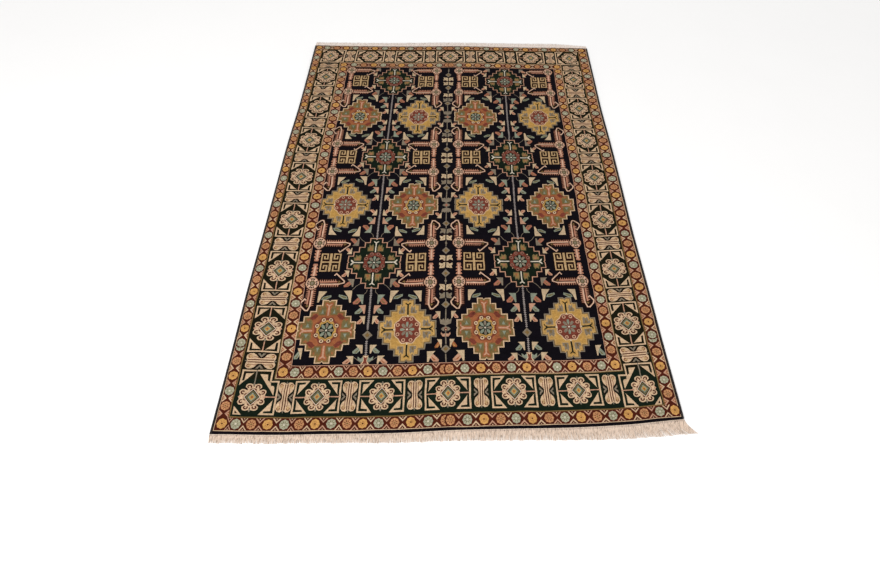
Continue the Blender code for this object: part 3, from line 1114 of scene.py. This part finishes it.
def pileTop(s, t):  # place and height of the pile's surface over a point of the loom grid
    inwards = inwardsFrom(s, t)
    x, y = lie(s, t)
    rimWidth, z = rug["rim"][-1]
    full = z
    for (a, low), (b, high) in reversed(list(zip(rug["rim"], rug["rim"][1:]))):
        if inwards < b:
            z = low + (high - low) * (inwards - a) / (b - a)
    fade = min(max(inwards / rimWidth, 0.0), 1.0)
    if fade > 0:  # the drawing wavers a little, as it does on a hand-made rug
        u, v = woven(s, t)
        handSize, handAcross, handAlong = rug["handWander"]
        knotSize, knotAcross, knotAlong = rug["knotWander"]
        pileSize, pileAcross, pileAlong = rug["pileUneven"]
        wide = noise.noise_vector(Vector((s / handAcross, t / handAlong, 3.1)))
        fine = noise.noise_vector(Vector((s / knotAcross, t / knotAlong, 8.7)))
        x += fade * (u - x)
        y += fade * (v - y)
        x += fade * (handSize * wide.x + knotSize * fine.x)
        y += fade * (handSize * wide.y + knotSize * fine.y)
        z += fade * pileSize * noise.noise(Vector((s / pileAcross, t / pileAlong, 5.0)))
    return x, y, z + ripple(x, y) * min(z / full, 1.0)


def addMesh(name, vertices, polygons, looks):
    mesh = bpy.data.meshes.new(name)
    mesh.from_pydata(vertices, [], polygons)
    mesh.polygons.foreach_set("use_smooth", [True] * len(polygons))
    for look in looks:
        mesh.materials.append(look)
    mesh.update()
    made = bpy.data.objects.new(name, mesh)
    bpy.context.scene.collection.objects.link(made)
    return made


def makePile():
    shapes = layBands() + layField() + layGuards() + layBorder()
    clipped, spots, faces = layPattern(shapes)
    chosen = findYarns(clipped, spots, faces)
    print("pattern laid:", len(shapes), "shapes,", len(spots), "points,", len(faces), "faces")
    spots = [(float(s), float(t)) for s, t in spots]
    vertices = [toMetres(*pileTop(s, t)) for s, t in spots]

    def around(i):  # runs round the rectangle, side by side
        s, t = spots[i]
        if t < 0.01:
            return (0, s)
        if s > rug["width"] - rug["pileMargin"] - 0.01:
            return (1, t)
        if t > rug["length"] - 0.01:
            return (2, -s)
        return (3, -t)

    # the outer edge goes down to the floor, and one face closes the underside
    rim = sorted([i for i, spot in enumerate(spots) if inwardsFrom(*spot) < 0.01], key=around)
    floor = list(range(len(vertices), len(vertices) + len(rim)))
    vertices += [toMetres(*lie(*spots[i]), rug["underside"]) for i in rim]
    polygons = faces.tolist()
    for k in range(len(rim)):
        n = (k + 1) % len(rim)
        polygons.append((rim[k], floor[k], floor[n], rim[n]))
    polygons.append(floor[::-1])
    slots = chosen.tolist() + [list(yarns).index("navy")] * len(rim) + [len(yarns)]
    looks = [knottedWool("woolPile" + name.capitalize(), code) for name, code in yarns.items()]
    made = addMesh("rug_pile", vertices, polygons, looks + [wovenBack("woolWovenBack")])
    mesh = made.data
    mesh.polygons.foreach_set("material_index", slots)
    # a plain map from above for baking, which fits the whole rug into one square
    corners = np.empty(len(mesh.loops), dtype=np.int64)
    mesh.loops.foreach_get("vertex_index", corners)
    places = np.array([(v.x, v.y) for v in vertices])
    uv = (places[corners] - np.array([-1.2, -1.6])) * (1 / 3.2)
    mesh.uv_layers.new(name="OFBake").data.foreach_set("uv", uv.astype(np.float32).ravel())
    mesh.update()
    return made


def tubeFaces(first, sides, rings, flip):  # rings of points joined to a tube with closed ends
    quads = []
    for a in range(first, first + (rings - 1) * sides, sides):
        for k in range(sides):
            j = (k + 1) % sides
            quads.append((a + k, a + j, a + sides + j, a + sides + k))
    last = first + (rings - 1) * sides
    quads.append(tuple(range(first, first + sides))[::-1])
    quads.append(tuple(range(last, last + sides)))
    return [quad[::-1] for quad in quads] if flip else quads


# overcast side edges: dyed wool wound round the outer warps
overcast = {
    "middle": 5.0,  # from the rug's edge
    "halfWidth": 4.75,
    "height": 9.3,
    "wrapPitch": 3.0,  # real ones are nearer 2 mm
    "valley": 0.86,
    "slant": 1.6,
    "points": 12,
    "squareness": 0.8,  # 1 is an oval
    "strands": (90.0, 700.0, 90.0),  # to the metre: fibres 11 mm long round the edge, 1.4 mm apart
    "tones": ((0.12, "#15100f"), (0.42, "#2b211f")),
    "bump": 0.5,
    "relief": 0.5,
    "shader": {"Roughness": 0.9, "Specular IOR Level": 0.3, "Sheen Weight": 0.15},
}


def overcastWool(name):
    # thick wool yarn wound tightly over the edge: matt, with each turn catching a little light
    made, tree, place = startMaterial(name)
    strands = addNode(tree, "ShaderNodeMapping", {"Scale": overcast["strands"]}, {"Vector": place})
    fibre = addNode(tree, "ShaderNodeTexNoise", {"Scale": 1.0, "Detail": 3.0}, {"Vector": strands.outputs[0]})
    worn = addNode(tree, "ShaderNodeTexNoise", {"Scale": 9.0, "Detail": 3.0}, {"Vector": place})
    mixed = addNode(tree, "ShaderNodeMath", {"operation": "MULTIPLY"},
                    {0: fibre.outputs["Fac"], 1: worn.outputs["Fac"]})
    ramp = addNode(tree, "ShaderNodeValToRGB", {"stops": overcast["tones"]}, {"Fac": mixed.outputs[0]})
    return finishMaterial(made, overcast, ramp.outputs[0], fibre.outputs["Fac"])


def makeSelvage(name, middle, look):
    count = overcast["points"]
    half = overcast["halfWidth"]
    high = overcast["height"]
    vertices = []
    rings = int(rug["length"] / overcast["wrapPitch"]) * 2
    for k in range(rings + 1):
        t = rug["length"] * k / rings
        swell = 1.0 if k % 2 else overcast["valley"]
        swell *= 1 + 0.03 * noise.noise(Vector((middle, t / 9.0, 0.5)))
        for i in range(count):
            angle = 2 * math.pi * i / count
            c = math.cos(angle)
            s = math.sin(angle)
            side = half * swell * math.copysign(abs(c) ** overcast["squareness"], c)
            up = high / 2 + high / 2 * swell * math.copysign(abs(s) ** overcast["squareness"], s)
            place = min(max(t + overcast["slant"] * side / half, 0.0), rug["length"])
            vertices.append(toMetres(*lie(middle + side, place), max(up, rug["underside"])))
    return addMesh(name, vertices, tubeFaces(0, count, rings + 1, False), [look])


# fringes: warp ends of undyed cotton, lying on the floor beyond a narrow woven end
fringe = {
    "locks": 144,
    "strandsInLock": 9,
    "sides": 5,
    "rings": 7,
    "radius": 1.05,
    "thickness": (0.85, 1.1),  # of single strands against the radius
    "strandLength": (0.94, 1.0),
    "strandDrift": 1.6,  # how far a strand's tip strays from its lock
    "waver": 1.1,
    "stack": 1.1,
    "lowest": 0.2,
    "root": 5.2,  # where the strands come out of the woven end
    "ribs": [(0.35, 0.25), (0.35, 2.2), (1.3, 3.3), (2.3, 2.5), (3.4, 3.3), (4.5, 2.4), (5.6, 3.1),
             (6.9, 1.9), (7.0, 0.25)],  # the woven end's section: outwards, height
    "ribCells": 400,
    "lengthSpread": 2.2,
    "sway": 3.0,
    # near and far: seed, length and lean at even stations, then the ramp from the painted shade between
    # strands to the cotton itself
    "near": (11, [40, 40, 41, 45, 50, 54, 58, 66, 70], [4, 2, -2, 3, 2, -2, 4, 12, 47],
             ((0.36, "#927a66"), (0.50, "#e3cdba"))),
    # the far cotton is painted paler than the near: painted light, standing in for more light falling on the
    # far end
    "far": (12, [56, 62, 64, 68, 66, 68, 70, 68, 44], [4, -4, 3, 6, -3, 2, -5, 4, -4],
            ((0.36, "#bfa998"), (0.50, "#f3e6dc"))),
    "spun": (520.0, 60.0, 200.0),  # to the metre: yarns of 2 mm, with streaks of painted shade 17 mm long along them
    "bump": 0.4,
    "relief": 0.4,
    "shader": {"Roughness": 0.88, "Specular IOR Level": 0.3, "Sheen Weight": 0.2},
}


def cottonWarp(name, tones):
    # undyed spun cotton, a little yellowed: soft, pale, with darker streaks along the strands that are
    # painted shade between them
    made, tree, place = startMaterial(name)
    spun = addNode(tree, "ShaderNodeMapping", {"Scale": fringe["spun"]}, {"Vector": place})
    shadeStreaks = addNode(tree, "ShaderNodeTexNoise", {"Scale": 1.0, "Detail": 4.0, "Roughness": 0.6},
                     {"Vector": spun.outputs[0]})
    ramp = addNode(tree, "ShaderNodeValToRGB", {"stops": tones}, {"Fac": shadeStreaks.outputs["Fac"]})
    return finishMaterial(made, fringe, ramp.outputs[0], shadeStreaks.outputs["Fac"])


def makeFringe(name, end, material):  # end is -1 for the near one and 1 for the far one
    seed, lengths, leans, tones = fringe["far" if end > 0 else "near"]
    rng = random.Random(seed)
    other = random.Random(seed + 50)
    pitch = rug["width"] / fringe["locks"]
    start = rug["length"] if end > 0 else 0.0
    ribs = fringe["ribs"]
    cells = fringe["ribCells"]
    vertices = []
    for k in range(cells + 1):
        x, y = lie(rug["width"] * k / cells, start)
        uneven = 1 + 0.06 * noise.noise(Vector((k * 0.7, end * 3.0, seed)))
        for out, up in ribs:
            vertices.append(toMetres(x, y + end * out, max(up * uneven, rug["underside"])))
    polygons = tubeFaces(0, len(ribs), cells + 1, end < 0)
    # the strands
    sides = fringe["sides"]
    rings = fringe["rings"]
    strands = fringe["strandsInLock"]
    root = fringe["root"]
    for lock in range(fringe["locks"]):
        share = (lock + 0.5) / fringe["locks"]
        reach = along(lengths, share) + rng.uniform(-fringe["lengthSpread"], fringe["lengthSpread"])
        lean = along(leans, share) + fringe["sway"] * noise.noise(Vector((share * 21, end, seed)))
        for strand in range(strands):
            offset = ((strand + 0.5) / strands - 0.5) * pitch
            x0, y0 = lie((lock + 0.5) * pitch + offset, start)
            own = reach * other.uniform(*fringe["strandLength"])
            stray = other.uniform(-fringe["strandDrift"], fringe["strandDrift"])
            thick = fringe["radius"] * other.uniform(*fringe["thickness"])
            layer = other.uniform(0.0, fringe["stack"])
            phase = other.uniform(0, 50)
            polygons += tubeFaces(len(vertices), sides, rings, end > 0)
            for ring in range(rings):
                part = ring / (rings - 1)
                y = y0 + end * (root + (own - root) * part)
                x = x0 + lean * (own / reach * part) ** 1.5 + stray * part
                x += fringe["waver"] * part * noise.noise(Vector((part * 3.0, phase, seed)))
                radius = thick * (1 - 0.45 * part**3)  # thinner towards the tip
                middle = radius * 0.9 + fringe["lowest"] + (1.0 + layer * 0.6) * max(1 - part * 3, 0)
                middle += layer * 0.5 * (1 - part)
                for k in range(sides):
                    angle = 2 * math.pi * (k + 0.5) / sides
                    up = max(middle + radius * math.sin(angle), fringe["lowest"])
                    vertices.append(toMetres(x + radius * math.cos(angle), y, up))
    return addMesh(name, vertices, polygons, [cottonWarp(material, tones)])


pile = makePile()
selvageLook = overcastWool("woolOvercast")
leftEdge = makeSelvage("overcast_left", overcast["middle"], selvageLook)
rightEdge = makeSelvage("overcast_right", rug["width"] - overcast["middle"], selvageLook)
print("side edges wound")
nearFringe = makeFringe("fringe_strands_near", -1, "cottonWarpEnds")
# the far fringe's paler cotton is painted light, standing in for more light falling on the far end
farFringe = makeFringe("fringe_strands_far", 1, "cottonWarpEndsPaintedLighter")
print("fringes laid")

for piece, node, slot in ((pile, "carpet", "pile"), (leftEdge, "selvage_left", "binding"),
                          (rightEdge, "selvage_right", "binding"), (nearFringe, "fringe_near", "fringe"),
                          (farFringe, "fringe_far", "fringe")):
    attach(piece, "root")
    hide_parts(node)


# studio: a plain pale floor, a white surround and soft light from the near side
studio = {
    "floorSize": 14.0,  # half its side, in metres
    "floorTones": ((0.0, "#fbfaf9"), (1.0, "#fefdfc")),
    "shader": {"Roughness": 0.9, "Specular IOR Level": 0.1},
    "surround": 0.88,
    "key": 95.0,
    "keyPlace": (-1.6, -3.2, 3.6),
    "keyAim": (0.0, -0.4, 0.0),
    "keySize": 3.0,
}


def paintedFloor(name):
    # smooth matt painted floor: pale, almost even, with the faintest mottling
    made, tree, place = startMaterial(name)
    mottled = addNode(tree, "ShaderNodeTexNoise", {"Scale": 2.0, "Detail": 3.0}, {"Vector": place})
    ramp = addNode(tree, "ShaderNodeValToRGB", {"stops": studio["floorTones"]},
                   {"Fac": mottled.outputs["Fac"]})
    return finishMaterial(made, studio, ramp.outputs[0])


def makeStudio():
    size = studio["floorSize"]
    corners = [(x, y, 0) for x, y in boxPoints(-size, -size, size, size)]
    addMesh("floor", corners, [(0, 1, 2, 3)], [paintedFloor("floorMattPaint")])
    world = bpy.data.worlds.new("surround")
    world.use_nodes = True
    back = world.node_tree.nodes["Background"]
    back.inputs["Color"].default_value = (1.0, 1.0, 1.0, 1.0)
    back.inputs["Strength"].default_value = studio["surround"]
    bpy.context.scene.world = world
    data = bpy.data.lights.new("key", "AREA")
    data.energy = studio["key"]
    data.size = studio["keySize"]
    key = bpy.data.objects.new("key", data)
    key.location = studio["keyPlace"]
    aim = Vector(studio["keyAim"]) - key.location
    key.rotation_euler = aim.to_track_quat("-Z", "Y").to_euler()
    bpy.context.scene.collection.objects.link(key)
    bpy.context.scene.view_settings.view_transform = "Standard"


makeStudio()
print("studio set")
